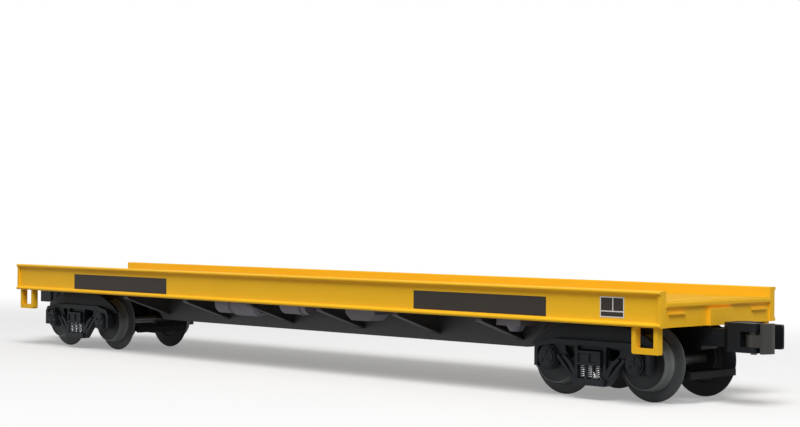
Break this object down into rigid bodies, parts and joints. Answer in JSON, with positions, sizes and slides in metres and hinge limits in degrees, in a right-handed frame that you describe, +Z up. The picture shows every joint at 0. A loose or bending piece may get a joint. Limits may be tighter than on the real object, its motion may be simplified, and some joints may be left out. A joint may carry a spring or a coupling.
{
  "type": "model flatcar",
  "caption": "Scale model railway flatcar with a shallow deck between channel side sills, fish-belly centre sill, swivelling trucks, spinning wheelsets and opening knuckle couplers",
  "frame": {"origin": "bottom centre of the whole car, on the floor that the wheel flanges stand on", "axes": "+X along the car towards its front end, +Y to its left, +Z up"},
  "size_m": [0.3986, 0.0654, 0.0366],
  "materials": {
    "yellow_body": "satin",
    "underframe_black": "matte",
    "gear_grey": "matte",
    "truck_cast": "satin black",
    "wheel_metal": "blackened",
    "axle_steel": "dull",
    "spring_nickel": "bright",
    "knuckle_grey": "dull",
    "screw_steel": "blackened"
  },
  "bodies": {
    "car_body": {"deck": "yellow_body", "side_sill_left": "yellow_body", "side_sill_right": "yellow_body", "end_sill_front": "yellow_body", "end_sill_rear": "yellow_body", "body_bolster_front": "yellow_body", "body_bolster_rear": "yellow_body", "step_front_left": "yellow_body", "step_front_right": "yellow_body", "step_rear_left": "yellow_body", "step_rear_right": "yellow_body", "kingpin_front": "screw_steel", "kingpin_rear": "screw_steel", "underframe": "underframe_black", "stub_sill_front": "underframe_black", "stub_sill_rear": "underframe_black", "centre_rib_front": "underframe_black", "centre_rib_rear": "underframe_black", "air_reservoir": "gear_grey", "brake_cylinder": "gear_grey", "control_valve": "gear_grey", "retainer_box": "gear_grey"},
    "truck_front": {"truck_bolster_front": "truck_cast", "sideframe_front_left": "truck_cast", "sideframe_front_right": "truck_cast", "bearing_caps_front": "truck_cast", "brake_beams_front": "truck_cast", "coupler_front": "truck_cast", "springs_front": "spring_nickel", "knuckle_pin_front": "screw_steel"},
    "knuckle_jaw_front": {"knuckle_front": "knuckle_grey"},
    "wheelset_front_outer": {"axle_front_outer": "axle_steel", "wheel_front_outer_left": "wheel_metal", "wheel_front_outer_right": "wheel_metal"},
    "wheelset_front_inner": {"axle_front_inner": "axle_steel", "wheel_front_inner_left": "wheel_metal", "wheel_front_inner_right": "wheel_metal"},
    "truck_rear": {"truck_bolster_rear": "truck_cast", "sideframe_rear_left": "truck_cast", "sideframe_rear_right": "truck_cast", "bearing_caps_rear": "truck_cast", "brake_beams_rear": "truck_cast", "coupler_rear": "truck_cast", "springs_rear": "spring_nickel", "knuckle_pin_rear": "screw_steel"},
    "knuckle_jaw_rear": {"knuckle_rear": "knuckle_grey"},
    "wheelset_rear_outer": {"axle_rear_outer": "axle_steel", "wheel_rear_outer_left": "wheel_metal", "wheel_rear_outer_right": "wheel_metal"},
    "wheelset_rear_inner": {"axle_rear_inner": "axle_steel", "wheel_rear_inner_left": "wheel_metal", "wheel_rear_inner_right": "wheel_metal"}
  },
  "joints": [
    {"name": "truck_front_swivel", "type": "hinge", "parent": "car_body", "child": "truck_front", "pos_m": [0.144, 0, 0.02125], "axis": [0, 0, 1], "range_deg": [-22, 22]},
    {"name": "wheelset_front_outer_spin", "type": "hinge", "parent": "truck_front", "child": "wheelset_front_outer", "pos_m": [0.162, 0, 0.0128], "axis": [0, 1, 0], "continuous": true},
    {"name": "wheelset_front_inner_spin", "type": "hinge", "parent": "truck_front", "child": "wheelset_front_inner", "pos_m": [0.126, 0, 0.0128], "axis": [0, 1, 0], "continuous": true},
    {"name": "knuckle_front_open", "type": "hinge", "parent": "truck_front", "child": "knuckle_jaw_front", "pos_m": [0.1933, -0.004, 0.0219], "axis": [0, 0, -1], "range_deg": [0, 40]},
    {"name": "truck_rear_swivel", "type": "hinge", "parent": "car_body", "child": "truck_rear", "pos_m": [-0.144, 0, 0.02125], "axis": [0, 0, 1], "range_deg": [-22, 22]},
    {"name": "wheelset_rear_outer_spin", "type": "hinge", "parent": "truck_rear", "child": "wheelset_rear_outer", "pos_m": [-0.162, 0, 0.0128], "axis": [0, 1, 0], "continuous": true},
    {"name": "wheelset_rear_inner_spin", "type": "hinge", "parent": "truck_rear", "child": "wheelset_rear_inner", "pos_m": [-0.126, 0, 0.0128], "axis": [0, 1, 0], "continuous": true},
    {"name": "knuckle_rear_open", "type": "hinge", "parent": "truck_rear", "child": "knuckle_jaw_rear", "pos_m": [-0.1933, 0.004, 0.0219], "axis": [0, 0, -1], "range_deg": [0, 40]}
  ]
}
